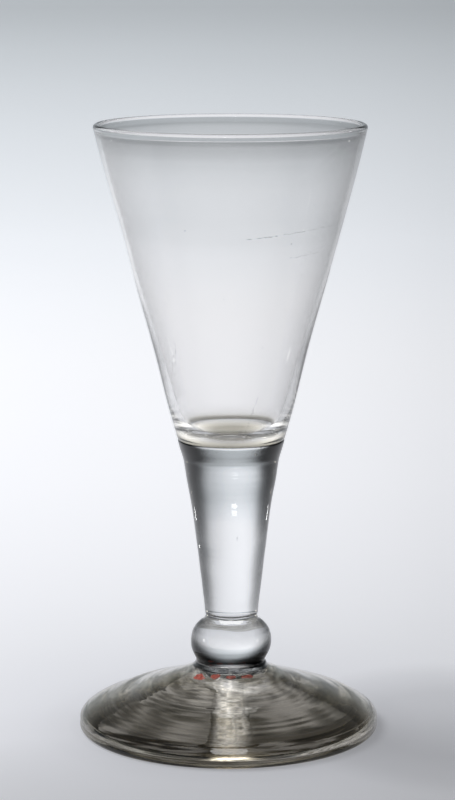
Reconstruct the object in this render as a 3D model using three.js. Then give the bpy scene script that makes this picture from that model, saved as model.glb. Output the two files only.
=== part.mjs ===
// Tavern glass: a blown funnel bowl on a solid tapering stem, a pressed ball
// knop and a wide conical foot whose rim is folded under.
//
// Units are millimetres. +Z is up, the glass is turned about the Z axis, and
// the origin is the middle of its footprint, on the plane it stands on.
// Every piece is the gather of glass that was blown or dropped on its own and
// then welded hot to its neighbour, so each one is a solid of its own and the
// welds are the faces where two of them meet.

import * as THREE from 'three';

// ------------------------------------------------------------ driving sizes
const TOTAL_HEIGHT = 160;        // table to the top of the rim
const FOOT_RADIUS = 39.6;        // foot over its rolled edge
const RIM_RADIUS = 35.32;        // bowl over its fire-polished rim
const RIM_ROLL = 0.95;           // radius of the rounded rim bead
const BOWL_BASE_Z = 77.7;        // weld between bowl and stem, at its edge
const BOWL_FLOOR_Z = 78.2;       // inside bottom of the bowl
const STEM_BASE_Z = 30.35;       // weld between stem and neck wafer
const KNOP_TOP_Z = 29.05;        // weld between neck wafer and knop
const KNOP_BASE_Z = 17.9;        // weld between knop and base wafer
const KNOP_RADIUS = 10.67;       // knop at its widest
const FOOT_TOP_Z = 16.5;         // weld between base wafer and foot
const KICK_Z = 15.0;             // underside of the foot at the centre
const SEAM_Z = 2.0;              // where the folded layer meets the foot
const REST_INNER = 37.0;         // flat wear ring that the glass stands on
const REST_OUTER = 38.6;
const SEGMENTS = 48;             // facets round the axis

// ---------------------------------------------------------------- helpers
// A solid of revolution about +Z. The profile is a list of [radius, z] that
// starts and ends on the axis, or a ring whose last point is its first.
function turned(name, profile, material) {
  const points = profile.map(([r, z]) => new THREE.Vector2(r, z));
  const geometry = new THREE.LatheGeometry(points, SEGMENTS);
  geometry.rotateX(Math.PI / 2);
  faceOutward(geometry);
  geometry.computeVertexNormals();
  const mesh = new THREE.Mesh(geometry, material);
  mesh.name = name;
  return mesh;
}

// Turns the triangles round where the enclosed volume comes out negative.
function faceOutward(geometry) {
  const p = geometry.attributes.position;
  const index = geometry.index;
  const a = new THREE.Vector3();
  const b = new THREE.Vector3();
  const c = new THREE.Vector3();
  let volume = 0;
  for (let i = 0; i < index.count; i += 3) {
    a.fromBufferAttribute(p, index.getX(i));
    b.fromBufferAttribute(p, index.getX(i + 1));
    c.fromBufferAttribute(p, index.getX(i + 2));
    volume += a.dot(b.cross(c));
  }
  if (volume < 0) {
    for (let i = 0; i < index.count; i += 3) {
      const second = index.getX(i + 1);
      index.setX(i + 1, index.getX(i + 2));
      index.setX(i + 2, second);
    }
  }
}

// Points on a circular arc, both ends included; angles in degrees from +r.
function arc(cr, cz, radius, from, to, steps) {
  const out = [];
  for (let i = 0; i <= steps; i += 1) {
    const t = THREE.MathUtils.degToRad(from + ((to - from) * i) / steps);
    out.push([cr + radius * Math.cos(t), cz + radius * Math.sin(t)]);
  }
  return out;
}

// -------------------------------------------------------------- materials
function glass(color, roughness) {
  return new THREE.MeshStandardMaterial({
    color, roughness, metalness: 0, transparent: true, opacity: 0.35,
  });
}
const clearGlass = glass(0xdfe3e6, 0.04);
const stemGlass = glass(0xd6dde2, 0.05);
const footGlass = glass(0xb9bbae, 0.08);
const scarGlass = glass(0xc6c8bf, 0.35);

const tavernGlass = new THREE.Group();

// The weld between bowl and stem. The bowl was soft when it was set on the
// stem head, so its base sank in a little: a shallow dish, shared by both.
const headWeld = [
  [0, 75.9],
  [5.0, 76.15],
  [9.0, 76.8],
  [12.0, 77.4],
  [13.75, BOWL_BASE_Z],
];

// ------------------------------------------------------------------- bowl
// A near-straight funnel. The wall is under a millimetre for most of its
// height, thickens below mid height and again towards the rounded rim bead.
const rimR = RIM_RADIUS - RIM_ROLL;
const rimZ = TOTAL_HEIGHT - RIM_ROLL;
tavernGlass.add(turned('bowl', [
  ...headWeld,
  [13.92, 77.76],
  [14.24, 78.05],
  [14.85, 80.3],
  [15.62, 83.2],
  [16.73, 87.5],
  [17.76, 91.9],
  [19.22, 98.4],
  [21.0, 104.9],
  [23.54, 113.6],
  [26.58, 124.5],
  [29.57, 135.4],
  [32.05, 145.1],
  [34.34, 154.9],
  ...arc(rimR, rimZ, RIM_ROLL, -12, 192, 6),
  [33.14, 154.9],
  [31.15, 145.1],
  [28.77, 135.4],
  [25.74, 124.5],
  [22.48, 113.6],
  [19.65, 104.9],
  [17.58, 98.4],
  [15.74, 91.9],
  [14.44, 87.5],
  [13.43, 84.6],
  [12.78, 83.1],
  [11.75, 81.5],
  [10.2, 80.15],
  [8.2, 79.2],
  [5.8, 78.6],
  [3.0, 78.28],
  [0, BOWL_FLOOR_Z],
], clearGlass));

// ------------------------------------------------------------------- stem
// One solid drawn taper, with a flared head that carries the bowl.
tavernGlass.add(turned('stem', [
  [0, STEM_BASE_Z],
  [6.85, STEM_BASE_Z],
  [7.0, 30.7],
  [7.16, 33.0],
  [7.62, 36.8],
  [8.13, 41.0],
  [9.12, 49.3],
  [9.87, 55.5],
  [10.48, 59.7],
  [11.2, 63.9],
  [11.92, 68.0],
  [12.42, 71.0],
  [12.67, 72.3],
  [13.22, 74.3],
  [13.75, 76.4],
  [13.95, 77.35],
  ...[...headWeld].reverse(),
], stemGlass));

// ------------------------------------------------------------- neck wafer
// The thin disc of soft glass that welded the stem to the knop.
tavernGlass.add(turned('neck_wafer', [
  [0, KNOP_TOP_Z],
  [7.4, KNOP_TOP_Z],
  [7.22, 29.28],
  [7.08, 29.5],
  [6.96, 29.75],
  [6.88, 30.0],
  [6.84, 30.2],
  [6.8, STEM_BASE_Z],
  [0, STEM_BASE_Z],
], clearGlass));

// -------------------------------------------------------------- ball knop
// A solid ball, pressed a little flatter than a sphere.
tavernGlass.add(turned('ball_knop', [
  [0, KNOP_BASE_Z],
  [9.15, KNOP_BASE_Z],
  [9.28, 18.5],
  [10.06, 19.9],
  [10.53, 21.4],
  [KNOP_RADIUS, 23.0],
  [10.5, 24.6],
  [10.1, 26.0],
  [9.2, 27.5],
  [8.28, 28.4],
  [7.4, KNOP_TOP_Z],
  [0, KNOP_TOP_Z],
], stemGlass));

// ------------------------------------------------------------- base wafer
// The second disc of soft glass, between the knop and the foot. It spread
// past the knop when the two were pressed together and runs out on the foot.
tavernGlass.add(turned('base_wafer', [
  [0, FOOT_TOP_Z],
  [9.95, FOOT_TOP_Z],
  [9.6, 16.92],
  [9.35, 17.35],
  [9.2, 17.7],
  [9.15, KNOP_BASE_Z],
  [0, KNOP_BASE_Z],
], stemGlass));

// ------------------------------------------------------------------- foot
// A spun cone with a slightly domed top and a hollow kick below. Its rim is
// the upper half of the folded edge.
tavernGlass.add(turned('foot', [
  [0, KICK_Z],
  [6.6, KICK_Z],
  [7.4, 14.88],
  [9.0, 14.42],
  [10.5, 13.74],
  [12.0, 13.0],
  [16.5, 10.95],
  [20.0, 9.25],
  [24.0, 7.6],
  [28.0, 6.15],
  [32.0, 4.7],
  [34.0, 3.75],
  [36.0, 2.65],
  [37.1, SEAM_Z],
  [38.7, SEAM_Z],
  [39.3, 2.12],
  [FOOT_RADIUS, 2.55],
  [39.5, 3.2],
  [39.0, 3.95],
  [38.1, 4.8],
  [36.0, 6.0],
  [32.0, 7.7],
  [28.0, 9.15],
  [24.0, 10.55],
  [20.0, 11.95],
  [16.5, 13.25],
  [14.0, 14.25],
  [12.0, 15.2],
  [10.7, 15.97],
  [9.95, FOOT_TOP_Z],
  [0, FOOT_TOP_Z],
], footGlass));

// -------------------------------------------------------------- foot fold
// The rim of the foot turned under itself: a second layer that the glass
// stands on. It is welded along a narrow ring, and a thin seam of air runs
// in from both of its edges.
tavernGlass.add(turned('foot_fold', [
  [REST_INNER, 0],
  [REST_OUTER, 0],
  [39.2, 0.3],
  [FOOT_RADIUS, 0.95],
  [39.5, 1.5],
  [39.2, 1.85],
  [38.7, SEAM_Z],
  [37.1, SEAM_Z],
  [36.0, 2.4],
  [34.0, 3.45],
  [33.3, 3.6],
  [33.0, 3.25],
  [33.25, 2.75],
  [34.2, 2.1],
  [35.6, 1.1],
  [36.5, 0.35],
  [REST_INNER, 0],
], footGlass));

// ------------------------------------------------------------ pontil scar
// The rough disc left under the foot where the pontil rod was cracked off.
tavernGlass.add(turned('pontil_scar', [
  [0, 13.85],
  [2.4, 13.65],
  [4.3, 13.7],
  [5.6, 14.1],
  [6.2, 14.6],
  [6.35, KICK_Z],
  [0, KICK_Z],
], scarGlass));

export default tavernGlass;
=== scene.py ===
import math
import bpy
import numpy as np
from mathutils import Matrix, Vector


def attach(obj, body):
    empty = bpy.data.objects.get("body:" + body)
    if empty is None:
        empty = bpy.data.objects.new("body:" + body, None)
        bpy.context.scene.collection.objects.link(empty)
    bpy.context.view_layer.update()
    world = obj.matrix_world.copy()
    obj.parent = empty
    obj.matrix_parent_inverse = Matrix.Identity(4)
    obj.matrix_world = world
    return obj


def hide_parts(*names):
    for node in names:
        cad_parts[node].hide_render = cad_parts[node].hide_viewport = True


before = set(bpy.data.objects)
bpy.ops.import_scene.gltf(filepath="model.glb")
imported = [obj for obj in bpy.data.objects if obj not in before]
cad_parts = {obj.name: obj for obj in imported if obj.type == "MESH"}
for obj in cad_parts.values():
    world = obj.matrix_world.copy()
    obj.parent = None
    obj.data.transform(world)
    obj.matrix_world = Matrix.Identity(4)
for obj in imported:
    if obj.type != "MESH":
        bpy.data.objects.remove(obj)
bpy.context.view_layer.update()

# A tavern glass: funnel bowl, solid tapered stem, ball knop, folded conical
# foot. Sizes below are in millimetres and turn into metres when a mesh is made.
MM = 0.001
SEG = 256
TAU = 2 * math.pi


# ------------------------------------------------------------------ numbers
def smooth_step(a, b, x):
    t = np.clip((np.asarray(x, float) - a) / (b - a), 0, 1)
    return t * t * (3 - 2 * t)


def bump(x, centre, width):
    return np.exp(-((np.asarray(x, float) - centre) / width) ** 2)


def waves(seed, count, turns, spacing):
    """A smooth field over (angle, distance) that closes round the axis.
    turns is the largest number of waves round the axis, spacing the (shortest,
    longest) wavelength along the profile in mm. Its rms is 1."""
    rng = np.random.default_rng(seed)
    m = rng.integers(0, turns + 1, count)
    wl = np.exp(rng.uniform(math.log(spacing[0]), math.log(spacing[1]), count))
    k = TAU / wl * rng.choice([-1, 1], count)
    ph = rng.uniform(0, TAU, count)
    amp = rng.uniform(0.5, 1, count) / np.sqrt(1 + 0.35 * m)
    amp /= math.sqrt((amp ** 2).sum() / 2)

    def field(angle, s):
        out = np.zeros(np.broadcast(angle, s).shape)
        for i in range(count):
            out += amp[i] * np.cos(m[i] * angle + k[i] * s + ph[i])
        return out
    return field


# The glass was made by hand, so its axis wanders by a fraction of a millimetre.
LEAN_Z = [0, 4, 16.6, 23, 31, 45, 60, 77, 100, 160]
LEAN_X = [0, 0.1, 0.52, 0.70, 0.82, 0.82, 0.74, 0.70, 0.60, 0.46]


def lean(z):
    return np.interp(z, LEAN_Z, LEAN_X)


# -------------------------------------------------------------- mesh makers
def spline(points, step):
    """Centripetal Catmull-Rom through the points, sampled about every step mm."""
    p = np.array(points, float)
    if len(p) == 2:
        n = max(1, int(np.ceil(np.linalg.norm(p[1] - p[0]) / step)))
        t = np.linspace(0, 1, n + 1)[:, None]
        return p[0] * (1 - t) + p[1] * t
    p = np.vstack([2 * p[0] - p[1], p, 2 * p[-1] - p[-2]])
    out = []
    for i in range(1, len(p) - 2):
        p0, p1, p2, p3 = p[i - 1:i + 3]
        t0 = 0.0
        t1 = t0 + np.linalg.norm(p1 - p0) ** 0.5
        t2 = t1 + np.linalg.norm(p2 - p1) ** 0.5
        t3 = t2 + np.linalg.norm(p3 - p2) ** 0.5
        n = max(1, int(np.ceil(np.linalg.norm(p2 - p1) / step)))
        for t in np.linspace(t1, t2, n, endpoint=False):
            a1 = (t1 - t) / (t1 - t0) * p0 + (t - t0) / (t1 - t0) * p1
            a2 = (t2 - t) / (t2 - t1) * p1 + (t - t1) / (t2 - t1) * p2
            a3 = (t3 - t) / (t3 - t2) * p2 + (t - t2) / (t3 - t2) * p3
            b1 = (t2 - t) / (t2 - t0) * a1 + (t - t0) / (t2 - t0) * a2
            b2 = (t3 - t) / (t3 - t1) * a2 + (t - t1) / (t3 - t1) * a3
            out.append((t2 - t) / (t2 - t1) * b1 + (t - t1) / (t2 - t1) * b2)
    out.append(p[-2])
    return np.array(out)


def arc(cr, cz, radius, start, end, steps):
    t = np.radians(np.linspace(start, end, steps + 1))
    return [(cr + radius * math.cos(a), cz + radius * math.sin(a)) for a in t]


class Shell:
    """Collects the rings and faces of one closed piece."""

    def __init__(self, name, materials, seg=SEG):
        self.name, self.materials, self.seg = name, materials, seg
        self.co, self.faces, self.mat, self.sharp = [], [], [], set()
        self.count = 0

    def add(self, xyz):
        self.co.append(np.asarray(xyz, float).reshape(-1, 3))
        first = self.count
        self.count += len(self.co[-1])
        return first

    def turn(self, sections):
        """sections: dicts with the profile's points, material and shape. A
        shape takes (angle, r, z, s) and gives (dr, dz). The profile starts and
        ends on the axis, or its last point is its first."""
        seg = self.seg
        ang = np.arange(seg) / seg * TAU
        rings = []
        last_end = None
        for k, sec in enumerate(sections):
            prof = spline(sec["points"], sec.get("step", 0.5))
            s = np.concatenate([[0], np.cumsum(np.linalg.norm(np.diff(prof, axis=0), axis=1))])
            r = prof[:, 0][:, None] + np.zeros((1, seg))
            z = prof[:, 1][:, None] + np.zeros((1, seg))
            if sec.get("shape"):
                dr, dz = sec["shape"](ang[None, :], r, z, s[:, None])
                r, z = r + dr, z + dz
            for i in range(len(prof)):
                if k and i == 0:
                    if sec.get("corner", True):
                        rings[-1]["sharp"] = True
                    continue
                rings.append({"r": r[i], "z": z[i], "pole": prof[i, 0] < 1e-6, "sharp": False, "mat": sec["mat"]})
        closed = not rings[0]["pole"]
        if closed:
            rings.pop()
        ids = []
        for g in rings:
            if g["pole"]:
                zc = float(g["z"].mean())
                ids.append((self.add([[lean(zc), 0, zc]]), True))
            else:
                x = g["r"] * np.cos(ang) + lean(g["z"])
                y = g["r"] * np.sin(ang)
                ids.append((self.add(np.stack([x, y, g["z"]], 1)), False))
        pairs = [(i, i + 1) for i in range(len(rings) - 1)]
        if closed:
            pairs.append((len(rings) - 1, 0))
        for i, j in pairs:
            (a, pa), (b, pb) = ids[i], ids[j]
            mat = rings[j]["mat"]
            for t in range(seg):
                u = (t + 1) % seg
                if pa:
                    self.faces.append((a, b + u, b + t))
                elif pb:
                    self.faces.append((a + t, a + u, b))
                else:
                    self.faces.append((a + t, a + u, b + u, b + t))
                self.mat.append(mat)
        for i, g in enumerate(rings):
            if g["sharp"] and not ids[i][1]:
                a = ids[i][0]
                for t in range(seg):
                    self.sharp.add((a + t, a + (t + 1) % seg))
        return self

    def bubble(self, centre, radii, mat, tilt=0.0, spin=0.0, rows=10, cols=16):
        """A closed seed inside the glass, with its faces turned inwards."""
        cx, cy, cz = centre
        rx, ry, rz = radii
        pts = [(0, 0, -rz)]
        for i in range(1, rows):
            p = -math.pi / 2 + math.pi * i / rows
            for j in range(cols):
                a = TAU * j / cols
                pts.append((rx * math.cos(p) * math.cos(a), ry * math.cos(p) * math.sin(a), rz * math.sin(p)))
        pts.append((0, 0, rz))
        pts = np.array(pts)
        ct, st = math.cos(tilt), math.sin(tilt)
        pts = pts @ np.array([[ct, 0, -st], [0, 1, 0], [st, 0, ct]])
        cs, ss = math.cos(spin), math.sin(spin)
        pts = pts @ np.array([[cs, ss, 0], [-ss, cs, 0], [0, 0, 1]])
        pts += np.array([cx + lean(cz), cy, cz])
        f = self.add(pts)
        top = f + len(pts) - 1
        for j in range(cols):
            k = (j + 1) % cols
            self.faces.append((f, f + 1 + j, f + 1 + k))
            self.mat.append(mat)
            for i in range(rows - 2):
                a, b = f + 1 + i * cols, f + 1 + (i + 1) * cols
                self.faces.append((a + j, b + j, b + k, a + k))
                self.mat.append(mat)
            a = f + 1 + (rows - 2) * cols
            self.faces.append((a + j, top, a + k))
            self.mat.append(mat)
        return self

    def make(self):
        mesh = bpy.data.meshes.new(self.name)
        co = np.concatenate(self.co) * MM
        mesh.from_pydata(co.tolist(), [], self.faces)
        for m in self.materials:
            mesh.materials.append(m)
        mesh.polygons.foreach_set("material_index", np.array(self.mat, np.int32))
        mesh.polygons.foreach_set("use_smooth", np.ones(len(self.faces), bool))
        if self.sharp:
            ev = np.zeros(len(mesh.edges) * 2, np.int32)
            mesh.edges.foreach_get("vertices", ev)
            ev = ev.reshape(-1, 2)
            keys = {(min(p), max(p)) for p in self.sharp}
            flags = [(min(a, b), max(a, b)) in keys for a, b in ev.tolist()]
            attr = mesh.attributes.new("sharp_edge", "BOOLEAN", "EDGE")
            attr.data.foreach_set("value", np.array(flags, bool))
        mesh.validate()
        mesh.update()
        obj = bpy.data.objects.new(self.name, mesh)
        bpy.context.scene.collection.objects.link(obj)
        return obj


# ---------------------------------------------------------------- materials
def new_material(name):
    m = bpy.data.materials.new(name)
    m.use_nodes = True
    nt = m.node_tree
    nt.nodes.clear()
    return m, nt


def node(nt, kind, **settings):
    n = nt.nodes.new(kind)
    for k, v in settings.items():
        if k.startswith("in_"):
            n.inputs[int(k[3:])].default_value = v
        else:
            setattr(n, k, v)
    return n


def math_node(nt, op, a, b=None, c=None, clamp=False):
    n = nt.nodes.new("ShaderNodeMath")
    n.operation = op
    n.use_clamp = clamp
    for i, v in enumerate((a, b, c)):
        if v is None:
            continue
        if isinstance(v, (int, float)):
            n.inputs[i].default_value = v
        else:
            nt.links.new(v, n.inputs[i])
    return n.outputs[0]


def noise(nt, vector, scale, detail=2.0, rough=0.5, distortion=0.0):
    n = nt.nodes.new("ShaderNodeTexNoise")
    n.inputs["Scale"].default_value = scale
    n.inputs["Detail"].default_value = detail
    n.inputs["Roughness"].default_value = rough
    n.inputs["Distortion"].default_value = distortion
    nt.links.new(vector, n.inputs["Vector"])
    return n.outputs["Fac"]


def ramp(nt, fac, stops):
    n = nt.nodes.new("ShaderNodeValToRGB")
    el = n.color_ramp.elements
    while len(el) > 1:
        el.remove(el[-1])
    el[0].position = stops[0][0]
    el[0].color = (*stops[0][1], 1)
    for pos, col in stops[1:]:
        el.new(pos).color = (*col, 1)
    nt.links.new(fac, n.inputs["Fac"])
    return n.outputs["Color"]


def grey(v):
    return (v, v, v)


def glass_material(name, tint, rough_low, rough_high, ior=1.52, edge=None,
                   edge_shade_power=None, smear_scale=60.0, bump_scale=900.0,
                   bump_height=0.0, zone=None, paint=None, band=None, plain=None):
    """Clear glass. Its roughness is patchy, as handled glass is. edge is a
    list of stops for painted shade: how the colour darkens where the surface
    turns away, in place of the dark edges that refraction gives, and
    edge_shade_power how much stronger that painted shade gets along the height,
    as (z mm, power). plain marks where the painted shade is lifted."""
    m, nt = new_material(name)
    out = node(nt, "ShaderNodeOutputMaterial")
    b = node(nt, "ShaderNodeBsdfPrincipled")
    b.inputs["Transmission Weight"].default_value = 1.0
    b.inputs["IOR"].default_value = ior
    b.inputs["Metallic"].default_value = 0.0
    nt.links.new(b.outputs[0], out.inputs["Surface"])
    tc = node(nt, "ShaderNodeTexCoord")
    obj = tc.outputs["Object"]
    smear = noise(nt, obj, smear_scale, 3.0, 0.6, 0.4)
    rough = nt.nodes.new("ShaderNodeMapRange")
    rough.inputs["From Min"].default_value = 0.42
    rough.inputs["From Max"].default_value = 0.72
    rough.inputs["To Min"].default_value = rough_low
    rough.inputs["To Max"].default_value = rough_high
    nt.links.new(smear, rough.inputs["Value"])
    rough_out = rough.outputs["Result"]
    if zone:
        extra = zone(nt, obj)
        rough_out = math_node(nt, "ADD", rough_out, extra, clamp=True)
    nt.links.new(rough_out, b.inputs["Roughness"])
    if edge:
        lw = node(nt, "ShaderNodeLayerWeight")
        lw.inputs["Blend"].default_value = 0.5
        level = ramp(nt, lw.outputs["Facing"], edge)
        if edge_shade_power:
            z0, z1 = edge_shade_power[0][0], edge_shade_power[-1][0]
            p0 = max(v for _, v in edge_shade_power)
            sx = node(nt, "ShaderNodeSeparateXYZ")
            nt.links.new(obj, sx.inputs[0])
            t = math_node(nt, "DIVIDE", math_node(nt, "SUBTRACT", sx.outputs[2], z0 * MM), (z1 - z0) * MM, clamp=True)
            pw = ramp(nt, t, [((z - z0) / (z1 - z0), grey(v / p0)) for z, v in edge_shade_power])
            level = math_node(nt, "POWER", level, math_node(nt, "MULTIPLY", pw, p0))
        if plain:
            level = math_node(nt, "MAXIMUM", level, plain(nt, obj))
        mix = node(nt, "ShaderNodeMix", data_type="RGBA", blend_type="MULTIPLY")
        mix.inputs["Factor"].default_value = 1.0
        mix.inputs[6].default_value = (*tint, 1)
        nt.links.new(level, mix.inputs[7])
        colour = mix.outputs[2]
        if band:
            more = node(nt, "ShaderNodeMix", data_type="RGBA", blend_type="MULTIPLY")
            more.inputs["Factor"].default_value = 1.0
            nt.links.new(colour, more.inputs[6])
            nt.links.new(band(nt, obj), more.inputs[7])
            colour = more.outputs[2]
        nt.links.new(colour, b.inputs["Base Color"])
    elif paint:
        nt.links.new(paint(nt, obj), b.inputs["Base Color"])
    else:
        b.inputs["Base Color"].default_value = (*tint, 1)
    if bump_height:
        fine = noise(nt, obj, bump_scale, 2.0, 0.5)
        bn = node(nt, "ShaderNodeBump")
        bn.inputs["Strength"].default_value = 0.3
        bn.inputs["Distance"].default_value = bump_height
        nt.links.new(fine, bn.inputs["Height"])
        nt.links.new(bn.outputs[0], b.inputs["Normal"])
    return m


weld, wnt = new_material("weld")
wo = node(wnt, "ShaderNodeOutputMaterial")
wt = node(wnt, "ShaderNodeBsdfTransparent")
wnt.links.new(wt.outputs[0], wo.inputs["Surface"])

# Painted shade: each glass darkens where its surface turns away from the view, in place of the dark edges that
# refraction of the dark room gives.
KNOP_EDGE_SHADE = [(0.0, grey(1.0)), (0.08, grey(1.0)), (0.12, grey(0.95)), (0.16, grey(0.89)), (0.20, grey(0.78)), (0.24, grey(0.65)),
             (0.30, grey(0.46)), (0.35, grey(0.34)), (0.43, grey(0.14)), (0.51, grey(0.09)), (0.61, grey(0.05)), (1.0, grey(0.03))]
STEM_EDGE_SHADE = [(0.0, grey(1.0)), (0.03, grey(1.0)), (0.07, grey(0.985)), (0.11, grey(0.95)), (0.16, grey(0.87)), (0.20, grey(0.75)), (0.24, grey(0.57)),
             (0.30, grey(0.27)), (0.35, grey(0.12)), (0.43, grey(0.04)), (0.51, grey(0.02)), (0.61, grey(0.012)), (1.0, grey(0.008))]
BOWL_EDGE_SHADE = [(0.0, grey(1.0)), (0.13, grey(0.985)), (0.28, grey(0.935)), (0.39, grey(0.88)), (0.53, grey(0.80)), (0.66, grey(0.71)), (0.75, grey(0.60)), (0.82, grey(0.46)), (0.9, grey(0.35)), (1.0, grey(0.3))]



def bowl_shade_and_scratches(nt, obj):
    """The wall is thicker for some millimetres below the rim bead, where a
    painted shade greys it, and a dark olive painted shade lies close to the weld. A few thin scratches cross it."""
    sx = node(nt, "ShaderNodeSeparateXYZ")
    nt.links.new(obj, sx.inputs[0])
    x, y, z = sx.outputs

    def times(a, b):
        mix = node(nt, "ShaderNodeMix", data_type="RGBA", blend_type="MULTIPLY")
        mix.inputs["Factor"].default_value = 1.0
        nt.links.new(a, mix.inputs[6])
        nt.links.new(b, mix.inputs[7])
        return mix.outputs[2]
    # painted shade: greyer for some millimetres below the rim bead
    t = math_node(nt, "DIVIDE", math_node(nt, "SUBTRACT", z, 0.140), 0.020, clamp=True)
    top = ramp(nt, t, [(0.0, grey(1.0)), (0.45, grey(0.985)), (0.62, grey(0.94)), (0.72, grey(0.87)), (0.80, grey(0.82)), (0.875, grey(0.80)), (0.905, grey(0.93)), (1.0, grey(0.97))])
    # painted shade: dark olive close to the weld, in place of the refraction in the solid base
    t = math_node(nt, "DIVIDE", math_node(nt, "SUBTRACT", z, 0.0777), 0.005, clamp=True)
    low = ramp(nt, t, [(0.0, (0.10, 0.093, 0.07)), (0.14, (0.12, 0.113, 0.09)), (0.26, (0.36, 0.345, 0.29)), (0.40, (0.78, 0.77, 0.73)), (0.60, (0.95, 0.945, 0.92)), (1.0, grey(1.0))])
    out = times(top, low)
    wobble = noise(nt, obj, 260.0, 2.0, 0.5)
    for x0, z0, x1, z1 in SCRATCHES:
        dx, dz = (x1 - x0) * MM, (z1 - z0) * MM
        long2 = dx * dx + dz * dz
        px = math_node(nt, "SUBTRACT", x, x0 * MM)
        pz = math_node(nt, "SUBTRACT", math_node(nt, "ADD", z, math_node(nt, "MULTIPLY", math_node(nt, "SUBTRACT", wobble, 0.5), 0.0009)), z0 * MM)
        u = math_node(nt, "DIVIDE", math_node(nt, "ADD", math_node(nt, "MULTIPLY", px, dx), math_node(nt, "MULTIPLY", pz, dz)), long2, clamp=True)
        ex = math_node(nt, "SUBTRACT", px, math_node(nt, "MULTIPLY", u, dx))
        ez = math_node(nt, "SUBTRACT", pz, math_node(nt, "MULTIPLY", u, dz))
        far = math_node(nt, "SQRT", math_node(nt, "ADD", math_node(nt, "MULTIPLY", ex, ex), math_node(nt, "MULTIPLY", ez, ez)))
        behind = math_node(nt, "MULTIPLY", math_node(nt, "GREATER_THAN", y, 0.0), 0.001)
        line = ramp(nt, math_node(nt, "DIVIDE", math_node(nt, "ADD", far, behind), 0.0004, clamp=True), [(0.0, grey(0.5)), (0.12, grey(0.6)), (0.3, grey(1.0))])
        gaps = ramp(nt, noise(nt, obj, 900.0, 1.0, 0.5), [(0.42, grey(0.0)), (0.56, grey(0.45))])
        mix = node(nt, "ShaderNodeMix", data_type="RGBA", blend_type="ADD")
        mix.inputs["Factor"].default_value = 1.0
        mix.clamp_result = True
        nt.links.new(line, mix.inputs[6])
        nt.links.new(gaps, mix.inputs[7])
        out = times(out, mix.outputs[2])
    return out


def worn_floor(nt, obj):
    """The inside of the bowl's bottom is worn dull by spoons and sediment."""
    sx = node(nt, "ShaderNodeSeparateXYZ")
    nt.links.new(obj, sx.inputs[0])
    r = math_node(nt, "SQRT", math_node(nt, "ADD", math_node(nt, "MULTIPLY", sx.outputs[0], sx.outputs[0]), math_node(nt, "MULTIPLY", sx.outputs[1], sx.outputs[1])))
    inside = ramp(nt, math_node(nt, "DIVIDE", r, 0.02, clamp=True), [(0.0, grey(1.0)), (0.60, grey(1.0)), (0.67, grey(0.0))])
    t = math_node(nt, "DIVIDE", math_node(nt, "SUBTRACT", sx.outputs[2], 0.0781), 0.006, clamp=True)
    return math_node(nt, "MULTIPLY", inside, ramp(nt, t, [(0.0, grey(0.42)), (0.2, grey(0.36)), (0.36, grey(0.10)), (0.5, grey(0.0))]))


def floor_mask(nt, obj):
    """The inner floor of the bowl, which lies flat; there the painted edge shade is held light."""
    sx = node(nt, "ShaderNodeSeparateXYZ")
    nt.links.new(obj, sx.inputs[0])
    r = math_node(nt, "SQRT", math_node(nt, "ADD", math_node(nt, "MULTIPLY", sx.outputs[0], sx.outputs[0]), math_node(nt, "MULTIPLY", sx.outputs[1], sx.outputs[1])))
    inside = ramp(nt, math_node(nt, "DIVIDE", r, 0.02, clamp=True), [(0.0, grey(0.93)), (0.60, grey(0.93)), (0.69, grey(0.9)), (0.70, grey(0.0))])
    above = math_node(nt, "GREATER_THAN", sx.outputs[2], 0.07812)
    return math_node(nt, "MULTIPLY", inside, above)


# (x, z, x, z) in mm on the front of the bowl
SCRATCHES = [(4.1, 133.4, 28.95, 135.86), (15.4, 128.21, 22.34, 128.97), (7.29, 91.6, 3.99, 80.86), (-13.36, 106.11, -14.1, 85.38)]
bowl_glass = glass_material("bowl_glass", (1.0, 0.995, 0.991), 0.0, 0.006, edge=BOWL_EDGE_SHADE, band=bowl_shade_and_scratches, zone=worn_floor, plain=floor_mask)
stem_glass = glass_material("stem_glass", (0.985, 0.992, 0.995), 0.0, 0.006, edge=STEM_EDGE_SHADE,
                            edge_shade_power=[(30, 0.35), (34, 0.52), (42, 0.68), (52, 0.72), (58, 1.05), (65, 1.4), (70, 2.1), (71.8, 2.3), (72.3, 1.4), (73.1, 1.4), (73.9, 3.6), (78, 4.6)])
knop_glass = glass_material("knop_glass", (0.985, 0.992, 0.99), 0.0, 0.006, edge=KNOP_EDGE_SHADE,
                            edge_shade_power=[(16, 1.6), (16.6, 1.8), (17.5, 4.0), (18.2, 6.6), (18.8, 7.0), (19.9, 5.6), (21, 4.0), (22, 3.0), (23, 1.5), (24.5, 0.5), (26, 0.3), (30.4, 0.25)])


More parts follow.
